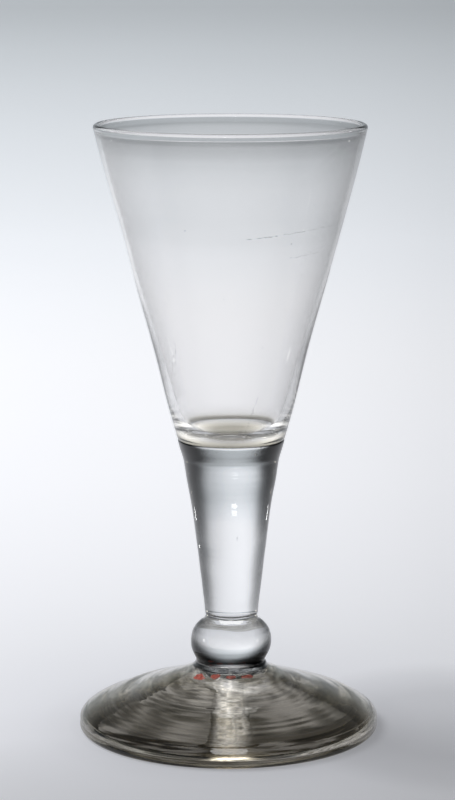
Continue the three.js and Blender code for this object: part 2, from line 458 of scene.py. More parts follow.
def foot_shade_and_streaks(nt, obj):
    """Long soft streaks of darker and lighter colour, drawn out round a centre
    that is a little off the axis, with fine ones in between: painted shade and
    painted reflection bands, shaped like cords in the glass, in place of the rippled
    foot mirroring a patchy room and the shade under it. Over them, painted shade
    across the flank and where the surface turns away."""
    sx = node(nt, "ShaderNodeSeparateXYZ")
    nt.links.new(obj, sx.inputs[0])
    x = math_node(nt, "SUBTRACT", sx.outputs[0], 0.0022)
    y = math_node(nt, "ADD", sx.outputs[1], 0.0030)
    r = math_node(nt, "SQRT", math_node(nt, "ADD", math_node(nt, "ADD", math_node(nt, "MULTIPLY", x, x), math_node(nt, "MULTIPLY", y, y)), 1e-6))
    c, t = math_node(nt, "DIVIDE", x, r), math_node(nt, "DIVIDE", y, r)

    def field(per_mm, turns, lift, detail, distortion):
        v = node(nt, "ShaderNodeCombineXYZ")
        nt.links.new(math_node(nt, "MULTIPLY", r, 1000 * per_mm), v.inputs[0])
        nt.links.new(math_node(nt, "MULTIPLY_ADD", c, turns, lift), v.inputs[1])
        nt.links.new(math_node(nt, "MULTIPLY", t, turns), v.inputs[2])
        return noise(nt, v.outputs[0], 1.0, detail, 0.55, distortion)
    broad = ramp(nt, field(0.25, 0.75, 3.0, 2.5, 0.6),
                 [(0.34, (0.30, 0.285, 0.235)), (0.43, (0.46, 0.44, 0.385)), (0.49, (0.62, 0.60, 0.55)), (0.535, (0.72, 0.705, 0.67)), (0.56, (0.95, 0.94, 0.93)), (0.66, (0.98, 0.975, 0.97))])
    fine = ramp(nt, field(1.15, 1.1, 7.0, 3.0, 0.3), [(0.36, grey(0.52)), (0.45, grey(0.78)), (0.5, grey(0.93)), (0.6, grey(1.0))])
    # painted shade across the foot's flank, lighter near the knop and at the rim
    depth_shade = ramp(nt, math_node(nt, "DIVIDE", r, 0.042, clamp=True),
                 [(0.0, grey(1.0)), (12 / 42, (0.96, 0.935, 0.88)), (15 / 42, (0.82, 0.775, 0.675)), (19 / 42, (0.67, 0.625, 0.525)), (25 / 42, (0.64, 0.595, 0.485)), (32 / 42, (0.65, 0.60, 0.50)), (35 / 42, (0.82, 0.765, 0.66)), (38 / 42, (0.95, 0.895, 0.79)), (1.0, (0.95, 0.895, 0.79))])

    # painted shade where the surface turns away
    lw = node(nt, "ShaderNodeLayerWeight")
    lw.inputs["Blend"].default_value = 0.5
    turned_shade = ramp(nt, lw.outputs["Facing"], [(0.0, grey(1.0)), (0.55, grey(1.0)), (0.68, grey(0.85)), (0.80, grey(0.66)), (1.0, grey(0.5))])
    # painted light: the back of the foot is lighter, where it shows the bright backdrop
    back = ramp(nt, math_node(nt, "MULTIPLY_ADD", t, 0.5, 0.5), [(0.0, grey(0.0)), (0.80, grey(0.0)), (0.93, grey(0.8)), (1.0, grey(0.95))])
    lit_back = node(nt, "ShaderNodeMix", data_type="RGBA", blend_type="MIX")
    nt.links.new(back, lit_back.inputs["Factor"])
    nt.links.new(depth_shade, lit_back.inputs[6])
    lit_back.inputs[7].default_value = (1, 0.985, 0.94, 1)
    depth_shade = lit_back.outputs[2]

    def times(a, b):
        mix = node(nt, "ShaderNodeMix", data_type="RGBA", blend_type="MULTIPLY")
        mix.inputs["Factor"].default_value = 1.0
        nt.links.new(a, mix.inputs[6])
        nt.links.new(b, mix.inputs[7])
        return mix.outputs[2]
    return times(times(times(broad, fine), depth_shade), turned_shade)


foot_glass = glass_material("foot_glass", (0.8, 0.78, 0.72), 0.0, 0.02, paint=foot_shade_and_streaks)
dab_paint, dnt = new_material("dab_paint")
d_out = node(dnt, "ShaderNodeOutputMaterial")
d_b = node(dnt, "ShaderNodeBsdfPrincipled")
d_b.inputs["Roughness"].default_value = 0.6
dnt.links.new(d_b.outputs[0], d_out.inputs["Surface"])
d_tc = node(dnt, "ShaderNodeTexCoord")
dnt.links.new(ramp(dnt, noise(dnt, d_tc.outputs["Object"], 1600.0, 3.0, 0.6), [(0.38, (0.52, 0.10, 0.07)), (0.50, (0.85, 0.14, 0.10)), (0.62, (0.95, 0.42, 0.36))]),
               d_b.inputs["Base Color"])
scar_glass = glass_material("scar_glass", (0.9, 0.91, 0.87), 0.12, 0.4, bump_height=0.0003)


# ------------------------------------------------------------------- pieces
G = 0.01           # half the gap at a weld, mm
DISH = [(0, 75.9), (5.0, 76.15), (9.0, 76.8), (12.0, 77.4), (13.75, 77.7)]


def flat(r, z, outward):
    pts = [(0, z), (r, z)] if outward else [(r, z), (0, z)]
    return {"points": pts, "mat": 1, "step": 4.0}


# bowl -----------------------------------------------------------------
blow = waves(11, 26, 5, (25, 90))
blow_in = waves(12, 26, 5, (18, 70))
rings_fine = waves(13, 30, 1, (1.1, 4.0))


def around_axis(a, centre):
    return np.angle(np.exp(1j * (a - centre)))


def press(a, z):
    """The bowl was pressed in a little on one side, above its middle."""
    return -0.52 * bump(around_axis(a, math.pi), 0, 0.9) * bump(z, 131, 12) - 0.12 * bump(z, 128, 13)


def bowl_outer(a, r, z, s):
    fade = smooth_step(77.9, 84, z)
    d = 0.05 * blow(a, z) * fade + 0.0006 * rings_fine(a, z) * fade + press(a, z)
    return d, 0 * d


def bowl_inner(a, r, z, s):
    fade = smooth_step(78.6, 84, z)
    d = 0.05 * blow(a, z) * fade + 0.012 * blow_in(a, z) * fade + press(a, z)
    return d, 0 * d


def bowl_bead(a, r, z, s):
    d = 0.05 * blow(a, z + 0 * a)
    return d, 0 * d


bowl_pts_out = [(13.75, 77.7 + G), (13.97, 77.79), (14.13, 78.0), (14.31, 78.5), (14.62, 79.6), (15.02, 81), (15.58, 83), (16.36, 86),
                (17.07, 89), (17.76, 92), (18.46, 95), (19.2, 98), (19.98, 101), (20.78, 104), (21.62, 107),
                (22.48, 110), (23.62, 114), (24.77, 118), (25.91, 122), (27.03, 126), (28.13, 130), (29.2, 134),
                (30.24, 138), (31.26, 142), (32.25, 146), (33.22, 150), (34.17, 154), (34.66, 156.2), (35.06, 158.0)]
RIM_C = (34.37, 159.05)
bowl_bead_pts = [(35.06, 158.0), (35.22, 158.6)] + arc(RIM_C[0], RIM_C[1], 0.94, -8, 188, 22)[1:] + [(33.44, 158.5), (33.4, 158.0)]
bowl_pts_in = [(33.4, 158.0), (33.3, 157.2), (33.12, 156.2), (32.9, 155.0), (32.67, 153.8), (32.42, 152.6), (32.0, 150.6), (31.31, 147.4), (30.6, 144.3), (29.86, 141.2),
               (29.1, 138.1), (28.3, 134.8), (27.35, 130.9), (26.21, 126.6), (25.03, 122.3), (23.81, 118.1), (22.57, 114.0), (21.31, 110.0), (20.35, 107.0),
               (19.39, 104.0), (18.44, 101.0), (17.5, 98.0), (16.6, 95.0), (15.73, 92.0), (14.87, 89.0), (14.14, 86.6), (13.43, 84.6), (12.78, 83.1), (11.75, 81.5),
               (10.2, 80.15), (8.2, 79.2), (5.8, 78.6), (3.0, 78.28), (0, 78.2)]
shell = Shell("bowl_glass_body", [bowl_glass, weld])
shell.turn([
    {"points": [(r, z + G) for r, z in DISH], "mat": 1, "step": 1.5},
    {"points": bowl_pts_out, "mat": 0, "step": 0.6, "shape": bowl_outer},
    {"points": bowl_bead_pts, "mat": 0, "step": 0.12, "shape": bowl_bead, "corner": False},
    {"points": bowl_pts_in, "mat": 0, "step": 0.6, "shape": bowl_inner, "corner": False},
])
for cx, cy, cz in [(-11.28, -26.88, 135.46), (15.14, -23.78, 131.82), (19.97, -18.87, 129.19), (17.86, -18.7, 123.33), (7.94, -18.98, 104.75), (-1.74, -24.22, 117.78)]:
    shell.bubble((cx, cy, cz), (0.13, 0.13, 0.13), 0, rows=6, cols=8)
bowl = shell.make()

# stem -----------------------------------------------------------------
tool = waves(21, 46, 2, (0.7, 3.2))
sway = waves(22, 18, 3, (7, 30))


def stem_side(a, r, z, s):
    fade = smooth_step(31, 34, z) * (1 - smooth_step(74.5, 77, z)) * (1 - 0.85 * bump(z, 60, 5))
    d = (0.0022 * tool(a, z) + 0.02 * sway(a, z)) * fade
    return d, 0 * d


stem_pts = [(6.8, 30.35 + G), (6.9, 30.5), (6.97, 30.75), (7.03, 31.2), (7.12, 32.0), (7.28, 34), (7.51, 36), (7.77, 38), (8.02, 40), (8.27, 42), (8.5, 44),
            (8.73, 46), (8.98, 48), (9.23, 50), (9.47, 52), (9.72, 54), (9.96, 56), (10.22, 58), (10.52, 60), (10.85, 62),
            (11.22, 64), (11.59, 66), (11.94, 68), (12.18, 69.5), (12.34, 70.5), (12.5, 71.5), (12.65, 72.3), (12.82, 73),
            (13.17, 74.2), (13.48, 75.2), (13.73, 76.1), (13.91, 76.8), (13.99, 77.3), (13.94, 77.56), (13.75, 77.7 - G)]
shell = Shell("stem_glass_body", [stem_glass, weld, knop_glass])
shell.turn([
    flat(6.8, 30.35 + G, True),
    {"points": stem_pts, "mat": 0, "step": 0.3, "shape": stem_side},
    {"points": [(r, z - G) for r, z in DISH[::-1]], "mat": 1, "step": 1.5},
])
shell.bubble((5.6, -8.0, 75.6), (0.42, 0.42, 0.36), 2)
shell.bubble((6.9, -7.6, 76.2), (0.3, 0.3, 0.24), 2)
shell.bubble((1.2, -4.0, 52.2), (0.11, 0.11, 0.5), 2)
stem = shell.make()

# neck wafer -----------------------------------------------------------
neck_wave = waves(31, 8, 4, (2, 9))


def neck_side(a, r, z, s):
    d = 0.03 * neck_wave(a, z) * smooth_step(29.05, 29.3, z) * (1 - smooth_step(30.1, 30.34, z))
    return d, 0 * d


shell = Shell("neck_wafer_body", [knop_glass, weld])
shell.turn([
    flat(7.4, 29.05 + G, True),
    {"points": [(7.4, 29.05 + G), (7.22, 29.28), (7.08, 29.5), (6.96, 29.75), (6.86, 30.0), (6.79, 30.2), (6.8, 30.35 - G)],
     "mat": 0, "step": 0.06, "shape": neck_side},
    flat(6.8, 30.35 - G, False),
])
neck = shell.make()

# ball knop ------------------------------------------------------------
knop_wave = waves(41, 12, 4, (8, 30))


def knop_side(a, r, z, s):
    fade = smooth_step(17.95, 19, z) * (1 - smooth_step(28.2, 29.0, z))
    d = 0.05 * knop_wave(a, z) * fade
    return d, 0 * d


knop_pts = [(9.15, 17.9 + G), (9.2, 18.2), (9.38, 18.75), (9.78, 19.5), (10.07, 20.1), (10.33, 20.7), (10.54, 21.4), (10.65, 22.1),
            (10.68, 22.8), (10.64, 23.6), (10.53, 24.5), (10.32, 25.4), (10.07, 26.1), (9.66, 26.8), (9.2, 27.45), (8.73, 27.95),
            (8.2, 28.42), (7.8, 28.73), (7.4, 29.05 - G)]
shell = Shell("ball_knop_body", [knop_glass, weld])
shell.turn([
    flat(9.15, 17.9 + G, True),
    {"points": knop_pts, "mat": 0, "step": 0.2, "shape": knop_side},
    flat(7.4, 29.05 - G, False),
])
knop = shell.make()

# base wafer -----------------------------------------------------------
base_wave = waves(51, 10, 7, (2, 12))


def base_side(a, r, z, s):
    fade = smooth_step(16.5, 16.75, z) * (1 - smooth_step(17.6, 17.88, z))
    lump = 0.95 * bump(around_axis(a, 5.6), 0, 0.5)
    d = (0.05 * base_wave(a, z) + lump) * fade
    return d, 0 * d


shell = Shell("base_wafer_body", [knop_glass, weld])
shell.turn([
    flat(9.95, 16.5 + G, True),
    {"points": [(9.95, 16.5 + G), (9.74, 16.72), (9.55, 16.98), (9.37, 17.35), (9.22, 17.65), (9.15, 17.9 - G)],
     "mat": 0, "step": 0.08, "shape": base_side},
    flat(9.15, 17.9 - G, False),
])
shell.bubble((8.9, -2.9, 17.25), (0.28, 0.3, 0.2), 0)
shell.bubble((8.2, -4.4, 17.3), (0.22, 0.22, 0.18), 0)
shell.bubble((7.2, -5.8, 17.2), (0.34, 0.26, 0.2), 0)
shell.bubble((6.4, -6.7, 17.3), (0.16, 0.16, 0.14), 0)
base = shell.make()

# foot -----------------------------------------------------------------
ring_a = waves(61, 26, 2, (6.0, 16))
ring_b = waves(62, 22, 3, (7.0, 22.0))
ring_s = waves(63, 16, 5, (10, 40))
ring_f = waves(64, 30, 2, (1.6, 4.0))


def foot_top(a, r, z, s):
    fade = smooth_step(10.2, 13, r) * (1 - smooth_step(37.6, 39.3, r))
    d = (0.09 * ring_a(a, r) + 0.06 * ring_s(a, r) + 0.008 * ring_f(a, r)) * fade
    return 0 * d, d


def foot_under(a, r, z, s):
    fade = smooth_step(6.6, 9, r) * (1 - smooth_step(33.5, 36.8, r))
    d = (0.04 * ring_b(a, r) + 0.05 * ring_s(a + 0.4, r)) * fade
    return 0 * d, d


foot_under_pts = [(6.3, 15.0), (7.4, 14.9), (9.0, 14.44), (10.5, 13.76), (12.0, 13.0), (14.2, 12.05), (16.5, 10.95), (20.0, 9.25), (24.0, 7.6), (28.0, 6.15),
                  (32.0, 4.7), (34.0, 3.75), (36.0, 2.65), (36.9, 2.1), (37.1, 2.0 + G)]
foot_edge_pts = [(38.7, 2.0 + G), (39.1, 2.03), (39.42, 2.22), (39.58, 2.6), (39.52, 3.15), (39.28, 3.62), (38.9, 4.08), (38.1, 4.74)]
foot_top_pts = [(38.1, 4.74), (37.2, 5.33), (36.0, 5.98), (34.0, 6.87), (32.0, 7.68), (30.0, 8.43), (28.0, 9.14), (26.0, 9.84), (24.0, 10.54), (22.0, 11.24),
                (20.0, 11.94), (18.0, 12.66), (16.5, 13.23), (14.0, 14.24), (12.6, 14.9), (11.5, 15.46), (10.7, 15.94), (10.25, 16.24), (9.95, 16.5 - G)]
shell = Shell("foot_glass_body", [foot_glass, weld, dab_paint])
shell.turn([
    {"points": [(0, 15.0 + G), (6.3, 15.0 + G)], "mat": 1, "step": 4.0},
    {"points": [(6.3, 15.0 + G)] + foot_under_pts[1:], "mat": 0, "step": 0.25, "shape": foot_under},
    {"points": [(37.1, 2.0 + G), (38.7, 2.0 + G)], "mat": 1, "step": 4.0},
    {"points": foot_edge_pts, "mat": 0, "step": 0.15},
    {"points": foot_top_pts, "mat": 0, "step": 0.25, "shape": foot_top, "corner": False},
    {"points": [(9.95, 16.5 - G), (0, 16.5 - G)], "mat": 1, "step": 4.0},
])
# four dabs of old red paint in front, just under the knop
top_line = spline(foot_top_pts[::-1], 0.2)


def on_top(a, r):
    z = np.interp(r, top_line[:, 0], top_line[:, 1])
    return z + foot_top(a, r, z, 0 * r)[1]


def dab(azimuth, radius, half_t, half_r, seed):
    """A thin patch of paint that follows the upper side of the foot."""
    rng = np.random.default_rng(seed)
    ph = rng.uniform(0, TAU, 4)
    t = np.arange(28) / 28 * TAU
    edge = 1 + 0.14 * np.cos(2 * t + ph[0]) + 0.12 * np.cos(3 * t + ph[1]) + 0.08 * np.cos(5 * t + ph[2]) + 0.05 * np.cos(7 * t + ph[3])
    rings = []
    for q, lift in ((1.0, 0.006), (0.985, 0.03), (0.9, 0.045), (0.65, 0.05), (0.35, 0.052)):
        r = radius + half_r * q * edge * np.sin(t)
        a = math.radians(azimuth) - math.pi / 2 + half_t * q * edge * np.cos(t) / radius
        z = on_top(a, r)
        rings.append(np.stack([r * np.cos(a) + lean(z), r * np.sin(a), z + lift], 1))
    first = [shell.add(g) for g in rings]
    mid = shell.add([rings[-1].mean(0)])
    low = shell.add([rings[0].mean(0) - (0, 0, 0.02)])
    for j in range(28):
        k = (j + 1) % 28
        for f, g in zip(first, first[1:]):
            shell.faces.append((f + j, f + k, g + k, g + j))
            shell.mat.append(2)
        shell.faces.append((first[-1] + j, first[-1] + k, mid))
        shell.mat.append(2)
        shell.faces.append((first[0] + k, first[0] + j, low))
        shell.mat.append(2)


dab(-44, 11.7, 1.9, 0.8, 1)
dab(-21.5, 10.75, 1.25, 0.68, 2)
dab(1.0, 10.75, 1.15, 0.55, 3)
dab(24.5, 10.85, 1.55, 0.6, 4)
foot = shell.make()

# foot fold ------------------------------------------------------------
fold_wave = waves(71, 14, 6, (6, 30))


def fold_shape(a, r, z, s):
    fade = (1 - smooth_step(35.0, 36.8, r))
    d = 0.16 * fold_wave(a, r * 0 + 3) * fade
    return d, 0 * d


shell = Shell("foot_fold_body", [foot_glass, weld])
shell.turn([
    {"points": [(37.0, 0.0), (38.6, 0.0)], "mat": 0, "step": 0.4},
    {"points": [(38.6, 0.0), (39.0, 0.1), (39.36, 0.4), (39.58, 0.9), (39.54, 1.35), (39.3, 1.75), (39.05, 1.95), (38.7, 2.0 - G)], "mat": 0, "step": 0.15, "corner": False},
    {"points": [(38.7, 2.0 - G), (37.1, 2.0 - G)], "mat": 1, "step": 4.0},
    {"points": [(37.1, 2.0 - G), (36.6, 2.12), (36.0, 2.42), (35.0, 2.98), (34.0, 3.46), (33.5, 3.6), (33.1, 3.5), (32.95, 3.2), (33.1, 2.85), (33.6, 2.5), (34.2, 2.1), (35.0, 1.5), (35.6, 1.05), (36.3, 0.45), (36.7, 0.12), (37.0, 0.0)],
     "mat": 0, "step": 0.2, "shape": fold_shape},
])
fold = shell.make()

# pontil scar ----------------------------------------------------------
rough_wave = waves(81, 40, 9, (1.0, 5.0))


def scar_shape(a, r, z, s):
    d = 0.1 * rough_wave(a, r) * smooth_step(0.0, 1.2, r) * (1 - smooth_step(5.6, 6.25, r))
    return 0 * d, d


shell = Shell("pontil_scar_body", [scar_glass, weld], seg=160)
shell.turn([
    {"points": [(0, 14.05), (1.2, 14.0), (2.4, 13.82), (4.0, 13.82), (5.2, 14.05), (5.9, 14.45), (6.2, 14.8), (6.3, 15.0 - G)], "mat": 0, "step": 0.2, "shape": scar_shape},
    flat(6.3, 15.0 - G, False),
])
scar = shell.make()

for obj, cad, slot in ((bowl, "bowl", "bowl_glass"), (stem, "stem", "stem_glass"), (neck, "neck_wafer", "stem_glass"),
                       (knop, "ball_knop", "stem_glass"), (base, "base_wafer", "stem_glass"), (foot, "foot", "foot_glass"),
                       (fold, "foot_fold", "foot_glass"), (scar, "pontil_scar", "scar_glass")):
    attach(obj, "root")
    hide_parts(cad)

# -------------------------------------------------------------------- stage
# One seamless surface of revolution: a level floor that turns up into a wall,
# so there is no horizon from any side. Its light is painted into its emission
# and colour: a soft pool round the glass that falls off away from it.
def cove():
    flat_r, rise_r = 0.95, 0.5
    prof = [(r, 0.0) for r in np.linspace(0.0, flat_r, 24)]
    prof += [(flat_r + rise_r * math.sin(t), rise_r * (1 - math.cos(t))) for t in np.linspace(0, math.pi / 2, 22)[1:]]
    prof += [(flat_r + rise_r, z) for z in np.linspace(rise_r, 3.0, 8)[1:]]
    seg, co, faces = 128, [(0.0, 0.0, 0.0)], []
    for r, z in prof[1:]:
        for j in range(seg):
            a = TAU * j / seg
            co.append((r * math.cos(a), r * math.sin(a), z))
    for j in range(seg):
        faces.append((0, 1 + j, 1 + (j + 1) % seg))
    for i in range(len(prof) - 2):
        a, b = 1 + i * seg, 1 + (i + 1) * seg
        for j in range(seg):
            k = (j + 1) % seg
            faces.append((a + j, b + j, b + k, a + k))
    me = bpy.data.meshes.new("cove")
    me.from_pydata(co, [], faces)
    me.polygons.foreach_set("use_smooth", np.ones(len(faces), bool))
    me.update()
    o = bpy.data.objects.new("cove", me)
    bpy.context.scene.collection.objects.link(o)
    return o


floor = cove()
m, nt = new_material("cove_paper")
out = node(nt, "ShaderNodeOutputMaterial")
tc = node(nt, "ShaderNodeTexCoord")
sep = node(nt, "ShaderNodeSeparateXYZ")
nt.links.new(tc.outputs["Object"], sep.inputs[0])
X, Y, Z = sep.outputs
R = math_node(nt, "SQRT", math_node(nt, "ADD", math_node(nt, "MULTIPLY", X, X), math_node(nt, "MULTIPLY", Y, Y)))
D = math_node(nt, "ADD", R, Z)
# Painted light level along the floor and up the wall: (distance + height, level)
LEVEL = [(0.0, 0.59), (0.03, 0.61), (0.062, 0.68), (0.10, 0.73), (0.145, 0.77), (0.214, 0.804), (0.314, 0.832), (0.437, 0.842),
         (0.592, 0.842), (0.795, 0.828), (1.031, 0.795), (1.164, 0.728), (1.254, 0.668), (1.32, 0.608), (1.381, 0.535),
         (1.439, 0.445), (1.50, 0.45), (1.62, 0.46), (1.74, 0.41), (1.9, 0.27), (2.1, 0.13), (2.4, 0.05), (4.5, 0.02)]


def tone(d, v):
    warm = np.interp(d, [0.0, 0.2, 0.6, 1.0, 1.3, 1.5], [0.985, 0.99, 0.99, 0.975, 0.955, 0.94])
    cool = np.interp(d, [0.0, 0.1, 0.6, 1.0, 1.5], [1.07, 1.045, 1.035, 1.045, 1.05])
    return (v * warm, v, v * cool)


pool = ramp(nt, math_node(nt, "DIVIDE", D, 5.2, clamp=True), [(d / 5.2, tone(d, v)) for d, v in LEVEL])
# painted light: it is a little brighter on the left and falls off to the right
SIDE_LIGHT = [(-6.0, 0.92), (-3.0, 1.0), (-1.0, 1.04), (-0.4, 1.02), (0.0, 1.0), (0.4, 0.975), (0.6, 0.955), (0.8, 0.93), (1.0, 0.90), (2.0, 0.80), (4.0, 0.68), (6.5, 0.6)]
T = math_node(nt, "DIVIDE", X, math_node(nt, "MULTIPLY", math_node(nt, "ADD", R, 0.7), 0.081))
side = ramp(nt, math_node(nt, "DIVIDE", math_node(nt, "ADD", T, 7.0), 14.0, clamp=True), [((t + 7) / 14, grey(v / 1.1)) for t, v in SIDE_LIGHT])
# painted shade: darker in front of the glass
FRONT_SHADE = [(-0.03, 1.0), (0.0, 0.95), (0.0105, 0.89), (0.029, 0.80), (0.043, 0.745), (0.08, 0.64), (0.15, 0.55), (0.35, 0.5)]
S = math_node(nt, "SUBTRACT", math_node(nt, "MULTIPLY", Y, -1.0), math_node(nt, "MULTIPLY", R, 0.25))
front = ramp(nt, math_node(nt, "DIVIDE", math_node(nt, "ADD", S, 0.05), 0.4, clamp=True), [((t + 0.05) / 0.4, grey(v)) for t, v in FRONT_SHADE])
# painted shade under the foot, where the hollow gets little light
UNDER_SHADE = [(0.0, 0.25), (0.030, 0.24), (0.0345, 0.28), (0.0375, 0.5), (0.0395, 0.86), (0.043, 0.95), (0.052, 1.0)]
under = ramp(nt, math_node(nt, "DIVIDE", R, 0.06, clamp=True), [(t / 0.06, grey(v)) for t, v in UNDER_SHADE])
# painted caustic: a broken patch of light under the back of the foot, where the bowl throws its light
pm = node(nt, "ShaderNodeMapping")
pm.inputs["Scale"].default_value = (150, 380, 1)
nt.links.new(tc.outputs["Object"], pm.inputs["Vector"])
broken = ramp(nt, noise(nt, pm.outputs[0], 1.0, 3.0, 0.6, 0.8), [(0.34, grey(0.10)), (0.46, grey(0.35)), (0.54, grey(0.9)), (0.62, grey(1.0))])
px = math_node(nt, "DIVIDE", X, 0.021)
py = math_node(nt, "DIVIDE", math_node(nt, "SUBTRACT", Y, 0.025), 0.018)
away = math_node(nt, "SQRT", math_node(nt, "ADD", math_node(nt, "MULTIPLY", px, px), math_node(nt, "MULTIPLY", py, py)))
spot = ramp(nt, away, [(0.0, grey(1.0)), (0.45, grey(0.9)), (0.75, grey(0.35)), (1.0, grey(0.0))])
patch = math_node(nt, "MULTIPLY", math_node(nt, "MULTIPLY", broken, spot), 1.35)
pn = node(nt, "ShaderNodeMix", data_type="RGBA", blend_type="ADD")
pn.inputs["Factor"].default_value = 1.0
nt.links.new(under, pn.inputs[6])
nt.links.new(patch, pn.inputs[7])
under = pn.outputs[2]


def times(a, b):
    n = node(nt, "ShaderNodeMix", data_type="RGBA", blend_type="MULTIPLY")
    n.inputs["Factor"].default_value = 1.0
    nt.links.new(a, n.inputs[6])
    nt.links.new(b, n.inputs[7])
    return n.outputs[2]


# painted shadow to the right of the foot
sx = math_node(nt, "DIVIDE", math_node(nt, "SUBTRACT", X, 0.060), 0.046)
sy = math_node(nt, "DIVIDE", Y, 0.060)
shade = ramp(nt, math_node(nt, "SQRT", math_node(nt, "ADD", math_node(nt, "MULTIPLY", sx, sx), math_node(nt, "MULTIPLY", sy, sy))),
             [(0.0, grey(0.70)), (0.5, grey(0.72)), (0.8, grey(0.87)), (1.0, grey(1.0))])
# the paper's emission carries the painted pool, side light, front shade, under-foot shade and caustic, and right-hand
# shadow
paper = times(times(times(times(pool, side), front), under), shade)
em = node(nt, "ShaderNodeEmission")
em.inputs["Strength"].default_value = 1.1 * 0.72
nt.links.new(paper, em.inputs["Color"])
# its diffuse colour carries the painted pool, side light and front shade too
df = node(nt, "ShaderNodeBsdfDiffuse")
nt.links.new(times(times(pool, side), front), df.inputs["Color"])
add = node(nt, "ShaderNodeAddShader")
nt.links.new(em.outputs[0], add.inputs[0])
nt.links.new(df.outputs[0], add.inputs[1])
nt.links.new(add.outputs[0], out.inputs["Surface"])
floor.data.materials.append(m)


def card(name, centre, size, strength, target=(0, 0, 0.06), colour=(1, 1, 1)):
    """A small soft light that only shows in the glass."""
    w, h = size
    me = bpy.data.meshes.new(name)
    me.from_pydata([(-w / 2, -h / 2, 0), (w / 2, -h / 2, 0), (w / 2, h / 2, 0), (-w / 2, h / 2, 0)], [], [(0, 1, 2, 3)])
    o = bpy.data.objects.new(name, me)
    bpy.context.scene.collection.objects.link(o)
    o.location = centre
    o.rotation_mode = "QUATERNION"
    o.rotation_quaternion = (Vector(target) - Vector(centre)).to_track_quat("Z", "Y")
    mat, t = new_material(name)
    mo = node(t, "ShaderNodeOutputMaterial")
    e = node(t, "ShaderNodeEmission")
    e.inputs["Color"].default_value = (*colour, 1)
    e.inputs["Strength"].default_value = strength
    clear = node(t, "ShaderNodeBsdfTransparent")
    both = node(t, "ShaderNodeAddShader")
    t.links.new(e.outputs[0], both.inputs[0])
    t.links.new(clear.outputs[0], both.inputs[1])
    t.links.new(both.outputs[0], mo.inputs["Surface"])
    me.materials.append(mat)
    o.visible_camera = False
    o.visible_diffuse = False
    o.visible_shadow = False
    return o


def around(azimuth, elevation, distance):
    """A place seen from the glass: azimuth 0 is towards the photograph's camera."""
    a, e = math.radians(azimuth), math.radians(elevation)
    return (distance * math.cos(e) * math.sin(a), -distance * math.cos(e) * math.cos(a), 0.06 + distance * math.sin(e))


front_box = card("front_box", around(-2.5, 24.2, 1.2), (0.085, 0.05), 20)
front_box2 = card("front_box2", around(-2.5, 27.9, 1.2), (0.085, 0.045), 20)
foot_lamp = card("foot_lamp", around(1.0, 72, 1.0), (0.30, 0.46), 5)
streak_box = card("streak_box", around(-4.3, 37.5, 1.2), (0.035, 0.07), 14)
left_box = card("left_box", around(-84, 4, 1.0), (0.08, 0.09), 12)
right_box = card("right_box", around(84, 4, 1.0), (0.07, 0.08), 10)
rims = [card("left_rim", around(-122, 10, 1.0), (0.10, 0.13), 12, colour=(1, 0.93, 0.8)), card("right_rim", around(122, 10, 1.0), (0.10, 0.13), 12, colour=(1, 0.93, 0.8)),
        card("left_dot", around(-122, 1.0, 1.0), (0.06, 0.05), 14), card("right_dot", around(122, 1.0, 1.0), (0.06, 0.05), 14)]
bowl_dots = [card("left_low", around(-122, -1.2, 1.0), (0.05, 0.03), 9), card("right_low", around(122, -1.2, 1.0), (0.05, 0.03), 9)]
for o in rims + bowl_dots:
    o.visible_glossy = False


def only_on(name, lights, pieces):
    """These small lights are flagged off everything but the pieces named."""
    group = bpy.data.collections.new(name)
    for piece in pieces:
        group.objects.link(piece)
    for o in lights:
        o.light_linking.receiver_collection = group




def sky():
    """What the foot mirrors from above: a patchy ceiling, with its brightest
    part high behind the glass."""
    co, faces = [], []
    rows, cols, radius = 14, 48, 1.15
    for i in range(rows + 1):
        e = math.radians(27 + 62.5 * i / rows)
        for j in range(cols):
            a = TAU * j / cols
            co.append((radius * math.cos(e) * math.cos(a), radius * math.cos(e) * math.sin(a), 0.02 + radius * math.sin(e)))
    for i in range(rows):
        for j in range(cols):
            k = (j + 1) % cols
            faces.append((i * cols + j, i * cols + k, (i + 1) * cols + k, (i + 1) * cols + j))
    me = bpy.data.meshes.new("foot_sky")
    me.from_pydata(co, [], faces)
    o = bpy.data.objects.new("foot_sky", me)
    bpy.context.scene.collection.objects.link(o)
    mat, t = new_material("foot_sky")
    mo = node(t, "ShaderNodeOutputMaterial")
    tc = node(t, "ShaderNodeTexCoord")
    e = node(t, "ShaderNodeEmission")
    level = ramp(t, noise(t, tc.outputs["Object"], 2.6, 1.0, 0.5), [(0.40, (0.06, 0.058, 0.054)), (0.50, (0.3, 0.288, 0.262)), (0.58, (0.8, 0.76, 0.70)), (0.68, (1.0, 0.96, 0.89))])
    e.inputs["Strength"].default_value = 2.2
    t.links.new(level, e.inputs["Color"])
    clear = node(t, "ShaderNodeBsdfTransparent")
    both = node(t, "ShaderNodeAddShader")
    t.links.new(e.outputs[0], both.inputs[0])
    t.links.new(clear.outputs[0], both.inputs[1])
    t.links.new(both.outputs[0], mo.inputs["Surface"])
    me.materials.append(mat)
    o.visible_camera = False
    o.visible_diffuse = False
    o.visible_shadow = False
    return o


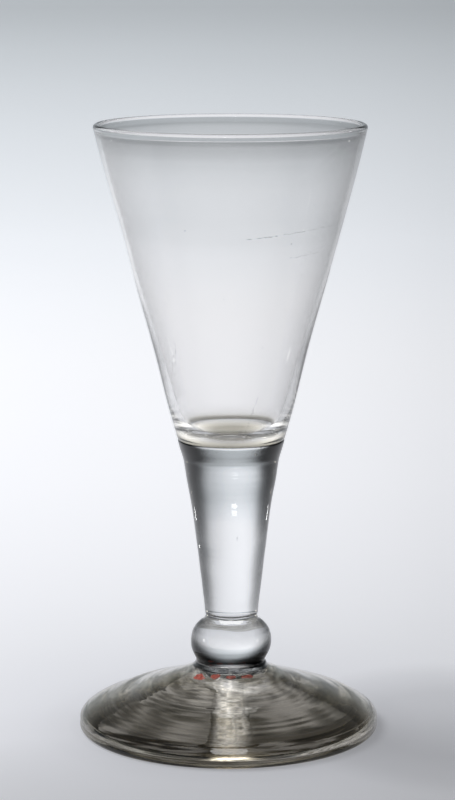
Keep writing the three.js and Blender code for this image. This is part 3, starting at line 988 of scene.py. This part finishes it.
def stem_glow():
    """A glowing sleeve of broken light round the stem that only the foot sees: a painted reflection of the bright stem
    in the foot.
    """
    co, faces = [], []
    rows, cols = 20, 40
    for i in range(rows + 1):
        z = 0.0175 + 0.0925 * i / rows
        radius = float(np.interp(z, [0.0175, 0.023, 0.029, 0.031, 0.045, 0.060, 0.072, 0.079, 0.092, 0.110], [0.0112, 0.0114, 0.0100, 0.0085, 0.0100, 0.0118, 0.0138, 0.0155, 0.0190, 0.0240]))
        for j in range(cols):
            a = TAU * j / cols
            co.append((radius * math.cos(a) + 0.0018, radius * math.sin(a), z))
    for i in range(rows):
        for j in range(cols):
            k = (j + 1) % cols
            faces.append((i * cols + j, i * cols + k, (i + 1) * cols + k, (i + 1) * cols + j))
    me = bpy.data.meshes.new("stem_glow")
    me.from_pydata(co, [], faces)
    o = bpy.data.objects.new("stem_glow", me)
    bpy.context.scene.collection.objects.link(o)
    mat, t = new_material("stem_glow")
    mo = node(t, "ShaderNodeOutputMaterial")
    tc = node(t, "ShaderNodeTexCoord")
    mp = node(t, "ShaderNodeMapping")
    mp.inputs["Scale"].default_value = (300, 300, 110)
    t.links.new(tc.outputs["Object"], mp.inputs["Vector"])
    e = node(t, "ShaderNodeEmission")
    level = ramp(t, noise(t, mp.outputs[0], 1.0, 2.5, 0.5, 1.0), [(0.32, (0.20, 0.197, 0.19)), (0.46, (0.42, 0.41, 0.385)), (0.56, (0.66, 0.64, 0.60)), (0.68, (1.0, 0.97, 0.91))])
    sx = node(t, "ShaderNodeSeparateXYZ")
    t.links.new(tc.outputs["Object"], sx.inputs[0])
    across = math_node(t, "SQRT", math_node(t, "ADD", math_node(t, "MULTIPLY", sx.outputs[0], sx.outputs[0]), math_node(t, "MULTIPLY", sx.outputs[1], sx.outputs[1])))
    facing = math_node(t, "POWER", math_node(t, "DIVIDE", math_node(t, "MULTIPLY", sx.outputs[1], -1.0), across, clamp=True), 4.0)
    t.links.new(math_node(t, "MULTIPLY", facing, 9.0), e.inputs["Strength"])
    t.links.new(level, e.inputs["Color"])
    clear = node(t, "ShaderNodeBsdfTransparent")
    both = node(t, "ShaderNodeAddShader")
    t.links.new(e.outputs[0], both.inputs[0])
    t.links.new(clear.outputs[0], both.inputs[1])
    t.links.new(both.outputs[0], mo.inputs["Surface"])
    me.materials.append(mat)
    o.visible_camera = False
    o.visible_diffuse = False
    o.visible_shadow = False
    return o


foot_sky = sky()
glow = stem_glow()


def room_glow():
    """The dim, even room in front of the glass, as the bowl's wall mirrors it."""
    co, faces = [], []
    rows, cols = 8, 48
    for i in range(rows + 1):
        for j in range(cols + 1):
            a = math.radians(-88 + 176 * j / cols)
            co.append((1.3 * math.sin(a), -1.3 * math.cos(a), 0.2 + 1.1 * i / rows))
    for i in range(rows):
        for j in range(cols):
            k = i * (cols + 1) + j
            faces.append((k, k + 1, k + cols + 2, k + cols + 1))
    me = bpy.data.meshes.new("room_glow")
    me.from_pydata(co, [], faces)
    o = bpy.data.objects.new("room_glow", me)
    bpy.context.scene.collection.objects.link(o)
    mat, t = new_material("room_glow")
    mo = node(t, "ShaderNodeOutputMaterial")
    tc = node(t, "ShaderNodeTexCoord")
    sx = node(t, "ShaderNodeSeparateXYZ")
    t.links.new(tc.outputs["Object"], sx.inputs[0])
    ahead = math_node(t, "DIVIDE", math_node(t, "MULTIPLY", sx.outputs[1], -1.0), 1.3, clamp=True)
    level = ramp(t, ahead, [(0.0, grey(0.0)), (0.35, grey(0.25)), (0.75, grey(0.85)), (1.0, grey(1.0))])
    e = node(t, "ShaderNodeEmission")
    e.inputs["Strength"].default_value = 0.5
    t.links.new(level, e.inputs["Color"])
    clear = node(t, "ShaderNodeBsdfTransparent")
    both = node(t, "ShaderNodeAddShader")
    t.links.new(e.outputs[0], both.inputs[0])
    t.links.new(clear.outputs[0], both.inputs[1])
    t.links.new(both.outputs[0], mo.inputs["Surface"])
    me.materials.append(mat)
    o.visible_camera = False
    o.visible_diffuse = False
    o.visible_shadow = False
    return o


room = room_glow()
only_on("lit_room", [room], [bowl])
only_on("lit_foot", [foot_sky, glow], [foot, fold])
only_on("lit_rim", [streak_box], [bowl])
only_on("lit_front", [front_box, front_box2], [stem, knop])
only_on("lit_edge", [foot_lamp], [foot])
foot_lamp.visible_transmission = False
foot_sky.visible_transmission = False
only_on("lit_knop", [left_box, right_box], [knop])


def neck_arc():
    """A broad soft light in front that only the neck wafer mirrors."""
    co, faces = [], []
    rows, cols, radius = 3, 24, 0.9
    for i in range(rows + 1):
        e = math.radians(6 + 54 * i / rows)
        for j in range(cols + 1):
            a = math.radians(-56 + 108 * j / cols)
            co.append((radius * math.cos(e) * math.sin(a), -radius * math.cos(e) * math.cos(a), 0.03 + radius * math.sin(e)))
    for i in range(rows):
        for j in range(cols):
            b = i * (cols + 1) + j
            faces.append((b, b + 1, b + cols + 2, b + cols + 1))
    me = bpy.data.meshes.new("neck_arc")
    me.from_pydata(co, [], faces)
    o = bpy.data.objects.new("neck_arc", me)
    bpy.context.scene.collection.objects.link(o)
    mat, t = new_material("neck_arc")
    mo = node(t, "ShaderNodeOutputMaterial")
    e = node(t, "ShaderNodeEmission")
    e.inputs["Color"].default_value = (1, 0.985, 0.94, 1)
    e.inputs["Strength"].default_value = 7.0
    clear = node(t, "ShaderNodeBsdfTransparent")
    both = node(t, "ShaderNodeAddShader")
    t.links.new(e.outputs[0], both.inputs[0])
    t.links.new(clear.outputs[0], both.inputs[1])
    t.links.new(both.outputs[0], mo.inputs["Surface"])
    me.materials.append(mat)
    o.visible_camera = False
    o.visible_diffuse = False
    o.visible_shadow = False
    return o


arc_light = neck_arc()
arc_light.visible_transmission = False
only_on("lit_neck", [arc_light], [neck])
only_on("lit_stem", rims, [stem])
only_on("lit_low", bowl_dots, [bowl])


def floor_glow():
    """A glowing disc inside the bowl's solid base that only the bowl sees: painted light in place of the light that the
    base gathers, as its floor shows it.
    """
    co, faces = [(0.0007, 0.0, 0.07800)], []
    rows, cols = 6, 48
    for i in range(1, rows + 1):
        for j in range(cols):
            a = TAU * j / cols
            r = 0.0124 * i / rows
            co.append((r * math.cos(a) + 0.0007, r * math.sin(a), 0.07800))
    for j in range(cols):
        faces.append((0, 1 + j, 1 + (j + 1) % cols))
    for i in range(rows - 1):
        for j in range(cols):
            k = (j + 1) % cols
            a, b = 1 + i * cols, 1 + (i + 1) * cols
            faces.append((a + j, b + j, b + k, a + k))
    me = bpy.data.meshes.new("floor_glow")
    me.from_pydata(co, [], faces)
    o = bpy.data.objects.new("floor_glow", me)
    bpy.context.scene.collection.objects.link(o)
    mat, t = new_material("floor_glow")
    mo = node(t, "ShaderNodeOutputMaterial")
    tc = node(t, "ShaderNodeTexCoord")
    sx = node(t, "ShaderNodeSeparateXYZ")
    t.links.new(tc.outputs["Object"], sx.inputs[0])
    r = math_node(t, "SQRT", math_node(t, "ADD", math_node(t, "MULTIPLY", sx.outputs[0], sx.outputs[0]), math_node(t, "MULTIPLY", sx.outputs[1], sx.outputs[1])))
    around_out = ramp(t, math_node(t, "DIVIDE", r, 0.0125, clamp=True), [(0.0, grey(1.0)), (0.68, grey(1.0)), (0.88, grey(0.45)), (1.0, grey(0.0))])
    back = math_node(t, "DIVIDE", math_node(t, "ADD", sx.outputs[1], 0.0125), 0.025, clamp=True)
    fall = ramp(t, back, [(0.0, (0.11, 0.108, 0.102)), (0.25, (0.18, 0.176, 0.167)), (0.38, (0.5, 0.49, 0.465)), (0.5, (0.78, 0.764, 0.725)), (0.65, (0.70, 0.686, 0.651)), (0.8, (0.42, 0.412, 0.391)), (1.0, (0.30, 0.294, 0.279))])
    both_mix = node(t, "ShaderNodeMix", data_type="RGBA", blend_type="MULTIPLY")
    both_mix.inputs["Factor"].default_value = 1.0
    t.links.new(around_out, both_mix.inputs[6])
    t.links.new(fall, both_mix.inputs[7])
    level = both_mix.outputs[2]
    e = node(t, "ShaderNodeEmission")
    e.inputs["Strength"].default_value = 1.4
    t.links.new(level, e.inputs["Color"])
    clear = node(t, "ShaderNodeBsdfTransparent")
    both = node(t, "ShaderNodeAddShader")
    t.links.new(e.outputs[0], both.inputs[0])
    t.links.new(clear.outputs[0], both.inputs[1])
    t.links.new(both.outputs[0], mo.inputs["Surface"])
    me.materials.append(mat)
    o.visible_camera = False
    o.visible_diffuse = False
    o.visible_shadow = False
    return o


base_light = floor_glow()
only_on("lit_base", [base_light], [bowl])

key = bpy.data.lights.new("key", "AREA")
key.shape = "RECTANGLE"
key.size, key.size_y = 0.9, 0.9
key.energy = 9
key_o = bpy.data.objects.new("key", key)
bpy.context.scene.collection.objects.link(key_o)
key_o.location = (-0.75, 0.45, 1.25)
key_o.rotation_mode = "QUATERNION"
key_o.rotation_quaternion = (Vector((0, 0, 0)) - Vector(key_o.location)).to_track_quat("-Z", "Y")
key_o.visible_glossy = False
key_o.visible_transmission = False
key_o.visible_camera = False

world = bpy.data.worlds.new("studio")
bpy.context.scene.world = world
world.use_nodes = True
world.node_tree.nodes["Background"].inputs[0].default_value = (0.05, 0.055, 0.06, 1)
world.node_tree.nodes["Background"].inputs[1].default_value = 1.0

# ------------------------------------------------------------------- camera
cam_data = bpy.data.cameras.new("camera")
cam = bpy.data.objects.new("camera", cam_data)
bpy.context.scene.collection.objects.link(cam)
bpy.context.scene.camera = cam
cam_data.sensor_width = 36.0
cam_data.lens = 36.0 * 2720 / 800
cam_data.clip_start = 0.01
cam_data.clip_end = 20
cam.location = (-0.00024, -0.6994, 0.2147)
cam.rotation_euler = (math.radians(90 - 10.28), 0, 0)

scene = bpy.context.scene
scene.view_settings.view_transform = "Standard"
scene.view_settings.look = "None"
scene.view_settings.exposure = 0.0
scene.view_settings.gamma = 1.0
scene.cycles.max_bounces = 40
scene.cycles.transmission_bounces = 36
scene.cycles.glossy_bounces = 24
scene.cycles.diffuse_bounces = 3
scene.cycles.transparent_max_bounces = 32
scene.cycles.use_denoising = True
scene.cycles.caustics_refractive = True
scene.cycles.caustics_reflective = True
scene.cycles.sample_clamp_indirect = 8.0
